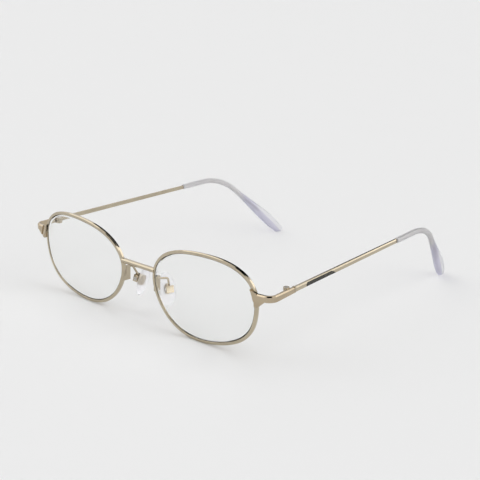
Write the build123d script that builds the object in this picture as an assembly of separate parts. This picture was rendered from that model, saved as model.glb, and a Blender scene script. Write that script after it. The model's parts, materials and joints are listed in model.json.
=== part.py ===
from build123d import *
import math
import os

# Full-rim metal eyeglasses with oval lenses, adjustable nose pads and clear temple tips.
# Millimetres. X runs to the wearer's left, Y from the front towards the ears and Z up.
# The frame stands as it was put down, on its two rims and two temple tips.
# One side, the wearer's left, is modelled and then mirrored.

# Lenses, seen from the front
lens_width = 49.6
lens_height = 33.6
lens_spacing = 18.4
lens_thickness = 1.8
lens_curve_radius = 130.0
bevel_height = 0.55
bevel_width = 0.9
bevel_play = 0.06
# How much fuller than an ellipse the outline is, by harmonic of the turn
fullness_shares = (0.0173, 0.0426, 0.0484, 0.0126, -0.0192, 0.0176)
angle_step = 0.001
outline_points = 48

# Rim wire: the lens edge sits in its groove
rim_outside = 0.8
rim_depth = 1.6
rim_bevel = 0.35
rim_sections = 40
rim_split_height = 4.9
rim_split_gap = 0.25
lap_set_back = 0.03

# How the front stands
front_tilt = 4.4
front_wrap = 2.6

# Closing block, brazed to the two ends of the rim wire, and the screw that closes it
block_width = 1.5
block_height = 1.4
block_depth = 1.6
rim_screw_radius = 0.4
rim_screw_head_radius = 0.6
rim_screw_head_height = 0.3
slot_width = 0.2
slot_depth = 0.15

# Hinge, in three knuckles on an upright pin
knuckle_radius = 1.15
knuckle_gap = 0.05
hinge_height = 2.3
middle_knuckle_height = 0.84
hinge_pin_radius = 0.5
hinge_pin_play = 0.04
hinge_head_radius = 0.72
hinge_head_height = 0.3
leaf_thickness = 0.6
front_leaf_length = 4.4
temple_leaf_length = 5.6
front_leaf_height = 1.3
temple_leaf_height = 1.0
leaf_play = 0.1
# Where the hinge is, from the joint of the rim
hinge_outside_joint = 5.0
hinge_behind_joint = 10.05
hinge_over_joint = 2.25

# Endpiece: a wedge plate over the rim joint, wrapped back into a lug
lug_thickness = 1.15
lug_top = 0.97
lug_bottom = 1.35
lug_bevel = 0.45
lug_seam_height = 1.7
lug_taper_length = 9.0
lug_behind_hinge = 1.9
lug_reach = 11.4
corner_radius = 3.6
wedge_width = 10.05
wedge_setback = 0.6
wedge_top = 2.2
wedge_top_width = 3.5
wedge_foot = 4.0
wedge_foot_width = 1.5
wedge_foot_inset = 2.3
wedge_waist = 2.5
wedge_shoulder_inset = 3.2
wedge_waist_inset = 4.6
crease_width = 3.6
crease_lean = 20.0
facet_turn = 14.0

# Temple bar
temple_converge = 3.9
temple_rise = 3.1
seam_gap = 0.1
bar_length = 67.6
bar_front_height = 1.7
bar_rear_height = 1.55
bar_rear_thickness = 1.0
bar_bevel = 0.4
butt_length = 0.7
butt_height = 2.1
core_radius = 0.5
core_past_bend = 28.0

# Dark inlay in the outer face of the temple
inlay_from_seam = 6.8
inlay_length = 19.0
inlay_height = 1.58
inlay_drop = 0.21
inlay_depth = 0.25
inlay_tail = 3.2

# Clear temple tip
sleeve_radius = 1.15
sleeve_length = 14.0
bend_from_collar = 23.6
bend_radius = 25.0
drop_angle = 45.8
drop_inward_angle = 11.7
tip_height_at_bend = 2.5
tip_thickness = 2.3
paddle_height = 6.0
paddle_from_end = 9.5
tip_end_height = 3.8
tip_end_thickness = 1.4
tip_short_of_floor = 0.4
tip_sections = 26

# Bridge bar, lapped on the two rims, measured from the nose end of the lens
bridge_height = 1.7
bridge_depth = 1.7
bridge_over_edge = 4.65
bridge_before_edge = 1.5
bridge_lap = 0.13
bridge_bevel = 0.45

# Pad arm: a foot plate on the rim and a bent wire, measured from the nose end of the lens
foot_inside_edge = 0.1
foot_before_edge = 0.55
foot_below_edge = 0.7
foot_height = 5.8
foot_depth = 3.4
foot_thickness = 0.9
arm_over_foot = 2.1
arm_corner_outside_edge = 1.4
arm_corner_behind_edge = 5.65
arm_corner_over_edge = 0.9
arm_radius = 0.42
arm_bend_radius = 1.3

# Nose pad on its box, measured from the nose end of the lens
pad_outside_edge = 0.5
pad_behind_edge = 7.25
pad_below_edge = 4.2
pad_splay = 20.0
pad_slope = 15.0
box_thickness = 1.8
box_width = 3.0
box_height = 2.8
box_wall = 0.45
pad_screw_radius = 0.4
pad_screw_play = 0.05
pad_screw_head_radius = 0.75
pad_screw_head_height = 0.35
tab_width = 1.4
tab_height = 1.5
tab_depth = 0.2
core_plate_thickness = 0.4
core_plate_height = 4.4
core_plate_width = 2.9
core_cover = 0.3
pad_gap = 0.6
pad_height = 13.2
pad_width = 7.6
pad_thickness = 2.5
pad_rounding = 1.05
tab_play = 0.08

# How far cutters run past what they cut, and how near an edge lies to the line it is looked for on
overrun = 6.0
edge_match = 0.01


def outline_point(turn):
    """A point of the lens edge seen from the front, measured from the middle of the lens."""
    waves = (1, math.sin(2 * turn), math.cos(turn), math.sin(turn), math.cos(2 * turn), math.sin(3 * turn))
    fullness = sum(share * wave for share, wave in zip(fullness_shares, waves))
    swell = 1 + math.sin(2 * turn) * fullness
    across = lens_width / 2 * math.cos(turn) * swell
    up = lens_height / 2 * math.sin(turn) * swell
    dip = lens_curve_radius - math.sqrt(lens_curve_radius**2 - across**2 - up**2)
    return Vector(across, dip, up)


def edge_frame(turn):
    """Axes at the lens edge: x outwards, y towards the wearer and z along the edge."""
    here = outline_point(turn)
    along = (outline_point(turn + angle_step) - outline_point(turn - angle_step)).normalized()
    backwards = (Vector(0, lens_curve_radius, 0) - here).normalized()
    return Plane(origin=here, x_dir=backwards.cross(along).normalized(), z_dir=along)


def edge_loft(profile, first_turn, last_turn, count):
    """A closed profile of (outwards, backwards) points carried along the lens edge."""
    wires = []
    for step in range(count + 1):
        frame = edge_frame(first_turn + (last_turn - first_turn) * step / count)
        corners = [frame.from_local_coords((out, deep, 0)) for out, deep in profile]
        wires.append(Wire.make_polygon(corners, close=True))
    return Solid.make_loft(wires)


def edge_cone(outwards):
    """Everything inside the lens edge moved outwards, between planes in front of and behind the lens."""
    centre = Vector(0, lens_curve_radius, 0)
    rings = []
    for depth in (-overrun, lens_width / 2):
        points = []
        for step in range(outline_points):
            frame = edge_frame(2 * math.pi * step / outline_points)
            ray = frame.from_local_coords((outwards, 0, 0)) - centre
            points.append(centre + ray * ((depth - centre.Y) / ray.Y))
        rings.append(Wire([Edge.make_spline(points, periodic=True)]))
    return Solid.make_loft(rings, ruled=True)


def plate(corners, thickness):
    """A flat outline of (x, z) points, from y = 0 to y = thickness."""
    face = Face(Wire.make_polygon([Vector(x, 0, z) for x, z in corners], close=True))
    return Solid.extrude(face, Vector(0, thickness, 0))


def turned_disc(radius, height, place):
    """A cylinder that stands on the origin of its place, along its z."""
    return place * Pos(0, 0, height / 2) * Cylinder(radius, height)


def slotted_head(radius, height, place):
    """A screw head along z, with a slot cut across its far end."""
    slot = Pos(0, 0, height) * Box(2 * radius + slot_width, slot_width, 2 * slot_depth)
    return place * (Pos(0, 0, height / 2) * Cylinder(radius, height) - slot)


# Places of the two frames of axes: the front, tilted and wrapped, and the temple, from its hinge
half_spacing = (lens_spacing + lens_width) / 2
front_turned = Rot(X=front_tilt) * Pos(half_spacing, 0, 0) * Rot(Z=front_wrap)
split_turn = math.asin(rim_split_height / (lens_height / 2))
edge_speed = (outline_point(split_turn + angle_step) - outline_point(split_turn)).length / angle_step
split_half_turn = rim_split_gap / 2 / edge_speed


def make_rim(groove):
    """The wire, open at its joint. The groove is a list of further points of its profile."""
    inner, outer = -bevel_height, rim_outside
    half = rim_depth / 2
    profile = [
        (inner, -half),
        (outer - rim_bevel, -half),
        (outer, rim_bevel - half),
        (outer, half - rim_bevel),
        (outer - rim_bevel, half),
        (inner, half),
    ]
    first = split_turn + split_half_turn
    last = split_turn - split_half_turn + 2 * math.pi
    return edge_loft(profile + groove, first, last, rim_sections)


def make_lens():
    centre = Pos(0, lens_curve_radius, 0)
    front = centre * Sphere(lens_curve_radius + lens_thickness / 2)
    back = centre * Sphere(lens_curve_radius - lens_thickness / 2)
    body = edge_cone(-bevel_height - bevel_play) & front - back
    root = bevel_height + rim_outside
    root_half = bevel_width / 2 * root / bevel_height
    tip = -bevel_play
    profile = [(tip - root - bevel_height, -root_half), (tip - root, -root_half), (tip, 0)]
    profile += [(tip - root, root_half), (tip - root - bevel_height, root_half)]
    count = rim_sections // 2
    bevel = edge_loft(profile, 0, math.pi, count) + edge_loft(profile, math.pi, 2 * math.pi, count)
    return body + bevel


lens_groove = [(-bevel_height, bevel_width / 2), (0, 0), (-bevel_height, -bevel_width / 2)]
rim_local = make_rim(lens_groove)
rim_low = (front_turned * rim_local).bounding_box().min.Z
front_place = Pos(0, 0, -rim_low) * front_turned
split_place = front_place * edge_frame(split_turn).location
hinge_offset = Vector(hinge_outside_joint, hinge_behind_joint, hinge_over_joint)
hinge_place = Pos(split_place.position + hinge_offset)
temple_place = hinge_place * Rot(Z=temple_converge) * Rot(X=temple_rise)
nose_end = (front_place * Pos(outline_point(math.pi))).position
pad_offset = Vector(pad_outside_edge, pad_behind_edge, -pad_below_edge)
pad_place = Pos(nose_end + pad_offset) * Rot(Z=-pad_splay) * Rot(Y=-pad_slope)

rim = front_place * rim_local
rim_room = front_place * make_rim([])
inside_rim = front_place * edge_cone(lap_set_back - bevel_height)


def make_block(side):
    """A closing block above (side 1) or below (side -1) the joint of the rim wire."""
    width = rim_outside + block_width
    lift = (block_height + rim_split_gap) / 2
    block = Pos(width / 2, 0, side * lift) * Box(width, block_depth, block_height)
    return split_place * block - rim_room - inside_rim


def make_rim_screw():
    """The shank crosses the lower block and bites in the upper one; the head is under the lower."""
    screw_axis = rim_outside + block_width / 2
    seat = rim_split_gap / 2 + block_height
    length = seat + rim_split_gap / 2 + block_height / 2
    shank = split_place * Pos(screw_axis, 0, -seat + length / 2) * Cylinder(rim_screw_radius, length)
    head_place = split_place * Pos(screw_axis, 0, -seat) * Rot(X=180)
    return shank + slotted_head(rim_screw_head_radius, rim_screw_head_height, head_place), shank


rim_screw, rim_screw_shank = make_rim_screw()
upper_block = make_block(1) - rim_screw_shank
lower_block = make_block(-1) - rim_screw_shank


# Hinge axes: x away from the nose, y back along the temple and z along the pin
lug_inside = knuckle_radius + leaf_play
lug_outside = lug_inside + lug_thickness
bar_inside = knuckle_radius
outer_knuckle_height = (hinge_height - middle_knuckle_height) / 2 - knuckle_gap
outer_knuckle_middle = (hinge_height - outer_knuckle_height) / 2
leaf_set = knuckle_radius + leaf_play


def make_endpiece():
    front = -lug_reach
    seam = lug_behind_hinge - seam_gap / 2
    wedge_end = lug_outside - wedge_width
    outer_line = [(wedge_end, front - wedge_setback), (lug_outside, front), (lug_outside, seam)]
    inner_line = [
        (lug_inside, seam),
        (lug_inside, front + lug_thickness),
        (wedge_end, front - wedge_setback + lug_thickness),
    ]
    outer = FilletPolyline(*outer_line, radius=corner_radius)
    inner = FilletPolyline(*inner_line, radius=corner_radius - lug_thickness)
    ends = [Line(outer_line[-1], inner_line[0]), Line(inner_line[-1], outer_line[0])]
    plan = Face(Wire([*outer.edges(), *inner.edges(), *ends]))
    lug = Pos(0, 0, -wedge_foot) * Solid.extrude(plan, Vector(0, 0, wedge_foot + lug_top))
    upper = [edge for edge in lug.edges() if min(vertex.Z for vertex in edge.vertices()) > 0]
    top_line = Pos(0, 0, lug_top) * outer
    outer_edges = [edge for edge in upper if top_line.distance_to(edge.center()) < edge_match]
    lug = chamfer(outer_edges, lug_bevel)
    wing = Pos(0, 0, -wedge_foot) * Solid.extrude(plan, Vector(0, 0, wedge_foot + wedge_top))
    wing_room = Box(wedge_top_width, lug_reach, 2 * overrun)
    wing = wing & Pos(wedge_end + wedge_top_width / 2, front, 0) * wing_room
    side_view = [
        (wedge_end, wedge_top),
        (wedge_end + wedge_top_width, lug_top),
        (lug_outside + overrun, lug_top),
        (lug_outside + overrun, -lug_bottom),
        (lug_outside - wedge_shoulder_inset, -lug_bottom),
        (lug_outside - wedge_waist_inset, -wedge_waist),
        (wedge_end + wedge_foot_inset + wedge_foot_width, -wedge_foot),
        (wedge_end + wedge_foot_inset, -wedge_foot),
        (wedge_end + wedge_foot_inset, -wedge_waist),
    ]
    silhouette = Pos(0, front - overrun, 0) * plate(side_view, lug_reach + 2 * overrun)
    shaped = (lug + wing) & silhouette
    for side, height in ((1, lug_top), (-1, lug_bottom)):
        taper = [
            (seam - lug_taper_length, side * height),
            (seam + overrun, side * (lug_seam_height / 2)),
            (seam + overrun, side * overrun),
            (seam - lug_taper_length, side * overrun),
        ]
        shaped = shaped - Pos(lug_outside + overrun, 0, 0) * Rot(Z=90) * plate(taper, 3 * overrun)
    crease = Pos(wedge_end + crease_width, front, 0) * Rot(Y=-crease_lean) * Rot(Z=facet_turn)
    shaped = shaped - crease * Pos(-overrun, -overrun / 2, 0) * Box(2 * overrun, overrun, 4 * overrun)
    shaped = temple_place * shaped - rim_room - upper_block - lower_block - inside_rim
    return max(shaped.solids(), key=lambda solid: solid.volume)


def make_front_leaf():
    """Two knuckles on one plate, brazed inside the lug."""
    knuckles = []
    for side in (-1, 1):
        knuckle = Cylinder(knuckle_radius, outer_knuckle_height)
        arm = Box(leaf_thickness, leaf_set, outer_knuckle_height)
        arm_place = Pos(lug_inside - leaf_thickness / 2, -leaf_set / 2, 0)
        knuckles.append(Pos(0, 0, side * outer_knuckle_middle) * (knuckle + arm_place * arm))
    flat = Box(leaf_thickness, front_leaf_length - leaf_set, front_leaf_height)
    flat_middle = -(front_leaf_length + leaf_set) / 2
    leaf = Pos(lug_inside - leaf_thickness / 2, flat_middle, 0) * flat
    return leaf + knuckles[0] + knuckles[1]


def make_temple_leaf():
    """The middle knuckle on a plate brazed inside the temple bar."""
    knuckle = Cylinder(knuckle_radius, middle_knuckle_height)
    arm = Box(leaf_thickness, leaf_set, middle_knuckle_height)
    flat = Box(leaf_thickness, temple_leaf_length - leaf_set, temple_leaf_height)
    sideways = bar_inside - leaf_thickness / 2
    flat_middle = (temple_leaf_length + leaf_set) / 2
    leaf = Pos(sideways, leaf_set / 2, 0) * arm + Pos(sideways, flat_middle, 0) * flat
    return leaf + knuckle


def make_hinge_screw():
    """Its head is sunk in the top knuckle and its shank reaches the bottom of the lowest one."""
    top = hinge_height / 2
    shank = Cylinder(hinge_pin_radius, hinge_height)
    head_place = Pos(0, 0, top - hinge_head_height)
    return shank - turned_disc(hinge_pin_radius, hinge_head_height, head_place) + slotted_head(
        hinge_head_radius, hinge_head_height, head_place
    )


hinge_bore = Cylinder(hinge_pin_radius + hinge_pin_play, hinge_height + overrun)
head_room = Pos(0, 0, hinge_height / 2 - hinge_head_height) * Pos(0, 0, overrun / 2) * Cylinder(
    hinge_head_radius + hinge_pin_play, overrun
)
front_leaf = temple_place * (make_front_leaf() - hinge_bore - head_room)
temple_leaf = temple_place * (make_temple_leaf() - hinge_bore)
hinge_screw = temple_place * make_hinge_screw()
endpiece = make_endpiece()


def bar_section(along, half_height, inner, outer):
    """A section of the temple bar, with its upper outer edge bevelled."""
    corners = [
        (inner, -half_height),
        (outer, -half_height),
        (outer, half_height - bar_bevel),
        (outer - bar_bevel, half_height),
        (inner, half_height),
    ]
    return Wire.make_polygon([Vector(x, along, z) for x, z in corners], close=True)


# The path of the tip, from the collar: straight, a round bend, and straight down to the floor
bar_start = lug_behind_hinge + seam_gap / 2
collar = lug_behind_hinge + bar_length
bar_middle = (bar_inside + lug_outside) / 2
drop = math.radians(drop_angle)
drop_inward = math.radians(drop_inward_angle)
drop_direction = Vector(
    -math.sin(drop_inward),
    math.cos(drop_inward) * math.cos(drop),
    -math.cos(drop_inward) * math.sin(drop),
)
bend_corner = Vector(bar_middle, collar + bend_from_collar, 0)
bend_turn = math.acos(drop_direction.Y)
bend_tangent = bend_radius * math.tan(bend_turn / 2)
bend_start = bend_from_collar - bend_tangent
bend_end = bend_start + bend_radius * bend_turn
corner_height = (temple_place * Pos(bend_corner)).position.Z
fall = corner_height - (temple_place * Pos(bend_corner + drop_direction * bend_radius)).position.Z
drop_length = corner_height / fall * bend_radius - tip_short_of_floor
tip_end = bend_end + drop_length - bend_tangent
tip_sideways = Vector(0, 1, 0).cross(drop_direction).normalized() * -1
bend_inward = tip_sideways.cross(Vector(0, 1, 0)) * -1


def tip_frame(distance):
    """Axes along the tip at a distance from the collar: x sideways, y across and z along it."""
    if distance <= bend_start:
        here = Vector(bar_middle, collar + distance, 0)
        return Plane(origin=here, x_dir=tip_sideways, z_dir=Vector(0, 1, 0))
    if distance >= bend_end:
        here = bend_corner + drop_direction * (bend_tangent + distance - bend_end)
        return Plane(origin=here, x_dir=tip_sideways, z_dir=drop_direction)
    turn = (distance - bend_start) / bend_radius
    first = Vector(bar_middle, collar + bend_start, 0)
    centre = first + bend_inward * bend_radius
    across = bend_inward * (bend_radius * math.cos(turn))
    here = centre + Vector(0, 1, 0) * (bend_radius * math.sin(turn)) - across
    heading = Vector(0, 1, 0) * math.cos(turn) + bend_inward * math.sin(turn)
    return Plane(origin=here, x_dir=tip_sideways, z_dir=heading)


def eased(value, stations):
    """A size that changes smoothly between (place, size) stations."""
    for (start, before), (end, after) in zip(stations, stations[1:]):
        if value <= end:
            part = min(max((value - start) / (end - start), 0), 1)
            return before + (after - before) * part * part * (3 - 2 * part)
    return stations[-1][1]


def make_tip():
    paddle = tip_end - paddle_from_end
    heights = [(sleeve_length, 2 * sleeve_radius), (bend_end, tip_height_at_bend), (paddle, paddle_height)]
    thicknesses = [(sleeve_length, 2 * sleeve_radius), (bend_end, tip_thickness)]
    wires = []
    for step in range(tip_sections + 1):
        distance = tip_end * step / tip_sections
        rounding = (max(distance - paddle, 0) / paddle_from_end) ** 2
        height = eased(distance, heights) - (paddle_height - tip_end_height) * rounding
        width = eased(distance, thicknesses) - (tip_thickness - tip_end_thickness) * rounding
        wires.append(Wire([Edge.make_ellipse(width / 2, height / 2, plane=tip_frame(distance))]))
    return Solid.make_loft(wires)


def make_core():
    """The round wire that runs on from the bar into the tip."""
    core_end = bend_end + core_past_bend - bend_tangent
    points = [tip_frame(-butt_length).origin, tip_frame(bend_start).origin, tip_frame(bend_end).origin]
    half_bend = tip_frame((bend_start + bend_end) / 2).origin
    path = Wire(
        [
            Edge.make_line(points[0], points[1]),
            Edge.make_three_point_arc(points[1], half_bend, points[2]),
            Edge.make_line(points[2], tip_frame(core_end).origin),
        ]
    )
    return Solid.sweep(Wire.make_circle(core_radius, tip_frame(-butt_length)), path)


def inlay_outline():
    """The inlay seen from the side: a round front end and a slanting tail."""
    front = bar_start + inlay_from_seam
    rear = front + inlay_length
    top = inlay_height / 2 - inlay_drop
    bottom = -inlay_height / 2 - inlay_drop
    round_start = front + inlay_height / 2
    round_end = ThreePointArc((round_start, bottom), (front, -inlay_drop), (round_start, top))
    rest = Polyline((round_start, top), (rear - inlay_tail, top), (rear, bottom), (round_start, bottom))
    flat = Face(Wire([*round_end.edges(), *rest.edges()]))
    sideways = Plane(origin=(lug_outside - inlay_depth, 0, 0), x_dir=(0, 1, 0), z_dir=(1, 0, 0))
    return sideways.location * Solid.extrude(flat, Vector(0, 0, overrun))


def make_bar():
    rear_inner = bar_middle - bar_rear_thickness / 2
    rear_outer = bar_middle + bar_rear_thickness / 2
    front_section = bar_section(bar_start, bar_front_height / 2, bar_inside, lug_outside)
    rear_section = bar_section(collar, bar_rear_height / 2, rear_inner, rear_outer)
    bar = Solid.make_loft([front_section, rear_section], ruled=True)
    butt_width = lug_outside - bar_inside
    butt = Box(butt_width, butt_length, butt_height)
    return bar + Pos(bar_inside + butt_width / 2, bar_start + butt_length / 2, 0) * butt


bar = make_bar()
core = make_core()
inlay_room = inlay_outline()
inlay = temple_place * (bar & inlay_room)
temple_local = (bar - inlay_room) + core
tip_local = make_tip() - core
under_floor = Box(bar_length, 2 * (bar_length + drop_length), 2 * overrun)
under_floor = Pos(hinge_place.position.X, collar, -overrun) * under_floor
temple = temple_place * temple_local
tip = temple_place * tip_local - under_floor


def make_bridge():
    middle = Pos(0, nose_end.Y - bridge_before_edge + bridge_depth / 2, nose_end.Z + bridge_over_edge)
    bar = Box(2 * (nose_end.X + bridge_lap), bridge_depth, bridge_height)
    bar = chamfer(bar.edges().filter_by(Axis.X).sort_by(Axis.Y)[:2], bridge_bevel)
    return middle * bar


def make_pad_arm():
    """A foot plate behind the rim, and a wire that runs back and down from it to the box."""
    foot_middle = nose_end + Vector(-foot_inside_edge, foot_depth / 2 - foot_before_edge, -foot_below_edge)
    foot = Pos(foot_middle) * Box(foot_thickness, foot_depth, foot_height) - rim_room - inside_rim
    foot = max(foot.solids(), key=lambda solid: solid.volume)
    box_top = pad_place * Pos(0, 0, box_height / 2)
    start = foot_middle + Vector(0, 0, arm_over_foot)
    corner = nose_end + Vector(arm_corner_outside_edge, arm_corner_behind_edge, arm_corner_over_edge)
    route = FilletPolyline(start, corner, box_top.position, radius=arm_bend_radius)
    section = Wire.make_circle(arm_radius, Plane(origin=route @ 0, z_dir=route % 0))
    return foot + Solid.sweep(section, Wire(route.edges())) - pad_place * box_block()


def box_block():
    return Box(box_thickness, box_width, box_height)


def make_pad_box():
    """A small box open to the nose side, which the tab of the pad sits in."""
    room_depth = box_thickness - box_wall + overrun
    room = Pos(box_thickness / 2 - box_wall - room_depth / 2, 0, 0) * Box(
        room_depth, box_width - 2 * box_wall, box_height - 2 * box_wall
    )
    return box_block() - room


def make_pad_screw():
    """It crosses the box from front to back, with its head on the front wall."""
    along = Rot(X=90)
    shank = along * Cylinder(pad_screw_radius, box_width)
    head_place = Pos(0, -box_width / 2, 0) * along
    return shank + slotted_head(pad_screw_head_radius, pad_screw_head_height, head_place), shank


def make_pad_core():
    """The metal plate moulded into the pad, and its tab with a hole for the screw."""
    plate_back = -box_thickness / 2 - pad_gap - core_cover
    oval = Face(Wire([Edge.make_ellipse(core_plate_height / 2, core_plate_width / 2)]))
    core_plate = Solid.extrude(oval, Vector(0, 0, core_plate_thickness))
    core_plate = Pos(plate_back - core_plate_thickness, 0, 0) * Rot(Y=90) * core_plate
    tab_length = tab_depth - plate_back
    tab = Pos(plate_back + tab_length / 2, 0, 0) * Box(tab_length, tab_width, tab_height)
    hole = Rot(X=90) * Cylinder(pad_screw_radius + pad_screw_play, box_width)
    return core_plate + tab - hole


def make_nose_pad():
    pad_back = -box_thickness / 2 - pad_gap
    oval = Face(Wire([Edge.make_ellipse(pad_height / 2, pad_width / 2)]))
    pad = Solid.extrude(oval, Vector(0, 0, pad_thickness))
    pad = fillet(pad.edges(), pad_rounding)
    return Pos(pad_back - pad_thickness, 0, 0) * Rot(Y=90) * pad


lens = front_place * make_lens()
pad_screw, pad_screw_shank = make_pad_screw()
pad_core = make_pad_core()
nose_pad = make_nose_pad() - pad_core
pad_box = make_pad_box() - pad_screw_shank

side_pieces = {
    "rim": rim,
    "lens": lens,
    "upper_closing_block": upper_block,
    "lower_closing_block": lower_block,
    "rim_screw": rim_screw,
    "endpiece": endpiece,
    "front_hinge_leaf": front_leaf,
    "temple_hinge_leaf": temple_leaf,
    "hinge_screw": hinge_screw,
    "temple": temple,
    "temple_inlay": inlay,
    "temple_tip": tip,
    "pad_arm": make_pad_arm(),
    "pad_box": pad_place * pad_box,
    "pad_screw": pad_place * pad_screw,
    "pad_core": pad_place * pad_core,
    "nose_pad": pad_place * nose_pad,
}

pieces = {}
for name, piece in side_pieces.items():
    pieces["left_" + name] = piece
    pieces["right_" + name] = mirror(piece, about=Plane.YZ)
bridge = make_bridge()
for cutter in (inside_rim, rim_room):
    bridge = bridge - cutter - mirror(cutter, about=Plane.YZ)
pieces["bridge"] = max(bridge.solids(), key=lambda solid: solid.volume)

# The origin is under the middle of the whole frame, on the surface that it stands on
whole = Compound([edge for piece in pieces.values() for edge in piece.edges()]).bounding_box()
to_origin = Pos(0, -whole.center().Y, 0)
os.makedirs("parts", exist_ok=True)
for name, piece in pieces.items():
    export_step(to_origin * piece, f"parts/{name}.step")
print("size", whole.size, "moved by", to_origin.position)
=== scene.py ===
import json
import math
from contextlib import contextmanager

import bmesh
import bpy
from bpy.props import FloatProperty, FloatVectorProperty, PointerProperty
from mathutils import Matrix, Vector

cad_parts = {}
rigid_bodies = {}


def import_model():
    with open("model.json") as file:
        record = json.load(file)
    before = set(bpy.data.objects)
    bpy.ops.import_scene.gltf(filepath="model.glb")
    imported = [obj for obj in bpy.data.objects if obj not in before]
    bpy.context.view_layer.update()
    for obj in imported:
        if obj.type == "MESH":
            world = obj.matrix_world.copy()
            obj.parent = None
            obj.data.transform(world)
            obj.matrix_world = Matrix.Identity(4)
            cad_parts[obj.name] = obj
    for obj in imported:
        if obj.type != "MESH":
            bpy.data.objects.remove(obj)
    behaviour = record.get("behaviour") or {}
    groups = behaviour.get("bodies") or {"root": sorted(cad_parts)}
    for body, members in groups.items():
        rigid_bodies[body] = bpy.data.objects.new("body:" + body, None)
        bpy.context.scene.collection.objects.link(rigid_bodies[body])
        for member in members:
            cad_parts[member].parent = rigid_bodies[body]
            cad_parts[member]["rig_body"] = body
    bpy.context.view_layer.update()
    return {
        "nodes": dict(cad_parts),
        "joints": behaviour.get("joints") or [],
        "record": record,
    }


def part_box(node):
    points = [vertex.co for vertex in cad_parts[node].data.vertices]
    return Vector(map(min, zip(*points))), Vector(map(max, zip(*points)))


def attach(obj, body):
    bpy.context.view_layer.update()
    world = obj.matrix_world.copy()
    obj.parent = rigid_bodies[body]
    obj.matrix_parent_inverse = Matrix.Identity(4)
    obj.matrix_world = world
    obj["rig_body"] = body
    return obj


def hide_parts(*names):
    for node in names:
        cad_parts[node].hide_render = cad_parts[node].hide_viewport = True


bl_info = {
    "name": "Oval Eyeglasses",
    "version": (1, 0, 0),
    "blender": (4, 5, 0),
    "location": "3D View > Sidebar > Eyeglasses",
    "description": "Dresses a pair of metal eyeglasses and sets up its studio",
    "category": "Object",
}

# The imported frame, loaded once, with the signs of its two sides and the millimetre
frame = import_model()
SIDES = {"left": 1, "right": -1}
MM = 0.001

# How finely the shapes are drawn
LENS_SIDES = 160
LENS_RINGS = 10
WIRE_STEPS = 240
SECTION_POINTS = 80
TIP_SIDES = 40
MOUTH_STEPS = 4
BODY_STEPS = 60
END_STEPS = 16
PAD_SIDES = 48
PAD_SLICES = 16
EDGE_SEGMENTS = 2
TURN_STEP = 0.001

# Small clearances and roundings. A roundness of 2 is round and 1 is a diamond, and a power of 1
# is round and less is squarer
LENS_PLAY = 0.06 * MM
LENS_CHAMFER = 0.7 * MM
MOUTH_ROUNDING = 0.4 * MM
MOUTH_NARROWING = 0.12
PADDLE_ROUNDNESS = 1.4
PAD_FACE_POWER = 0.75
PAD_EDGE_POWER = 0.55

# Points closer than this are merged: in drawn shapes, and in the CAD's own meshes
DOUBLES = 0.0001 * MM
CAD_DOUBLES = 0.001 * MM

# Faces that meet at less than the flat limit are joined, and edges over the others are shaded
# sharp
FLAT_LIMIT = math.radians(0.5)
EDGE_LIMIT = math.radians(32)
RIM_LIMIT = math.radians(25)
LENS_LIMIT = math.radians(15)
TIP_LIMIT = math.radians(50)
PAD_LIMIT = math.radians(60)

# The studio, seen from the frame: each softbox as the angles to where it fades and to its edge,
# and the diffuser and the dark wall as places on a sphere of radius 1
KEY_SPREAD = (math.radians(9), math.radians(13))
FILL_SPREAD = (math.radians(20), math.radians(25))
FRONT_SPREAD = (math.radians(16), math.radians(18.5))
SIDE_SPREAD = (math.radians(16), math.radians(26))
REAR_SPREAD = (math.radians(17), math.radians(20))
REAR_FOOT = (0.18, 0.26)
FLAGS = 5
FLAG_EDGE = math.radians(1.5)
DIFFUSER_RISE = (0.2, 0.5)
WALL_FOOT = (0.21, 0.25)
WALL_TOP = (0.42, 0.33)
WALL_DISTANCE = (0.2, 0.45)
WALL_END = (-0.04, 0.04)
SENSOR_WIDTH = 36.0
NEAREST_SEEN = 1 * MM
FARTHEST_SEEN = 100.0

# Colours of the coated lenses and of the nose pads, which are nearly none
LENS_TINT = (0.985, 0.99, 0.985)
SILICONE_TINT = (0.97, 0.965, 0.985)

# Where the tip's colours change, as shares of its length, how the painted highlight on its
# rear side is bounded, and over what length the temple's plating ends at the core wire
LAVENDER_SPAN = (0.56, 0.64)
LIT_FACET_SPAN = (0.72, 0.78)
LIT_FACET_WIDENING_SPAN = (0.75, 1.0)
LIT_FACET_WIDER_BY = 0.7
LIT_FACET_EDGE = (0.2, 0.35)
CORE_EDGE = 0.1 * MM

# Numbers of a Mix node's colour sockets, whose names its other sockets share
MIX_INPUTS = (6, 7)
MIX_RESULT = 2

# Rounding of the edges in millimetres, by kind of metal piece
SOFT_EDGES = {
    "upper_closing_block": 0.08,
    "lower_closing_block": 0.08,
    "rim_screw": 0.03,
    "endpiece": 0.1,
    "front_hinge_leaf": 0.05,
    "temple_hinge_leaf": 0.05,
    "hinge_screw": 0.03,
    "temple": 0.08,
    "temple_inlay": 0.03,
    "pad_arm": 0.06,
    "pad_box": 0.3,
    "pad_screw": 0.04,
    "pad_core": 0.04,
    "bridge": 0.1,
}


# Sizes and colours that a user would change

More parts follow.
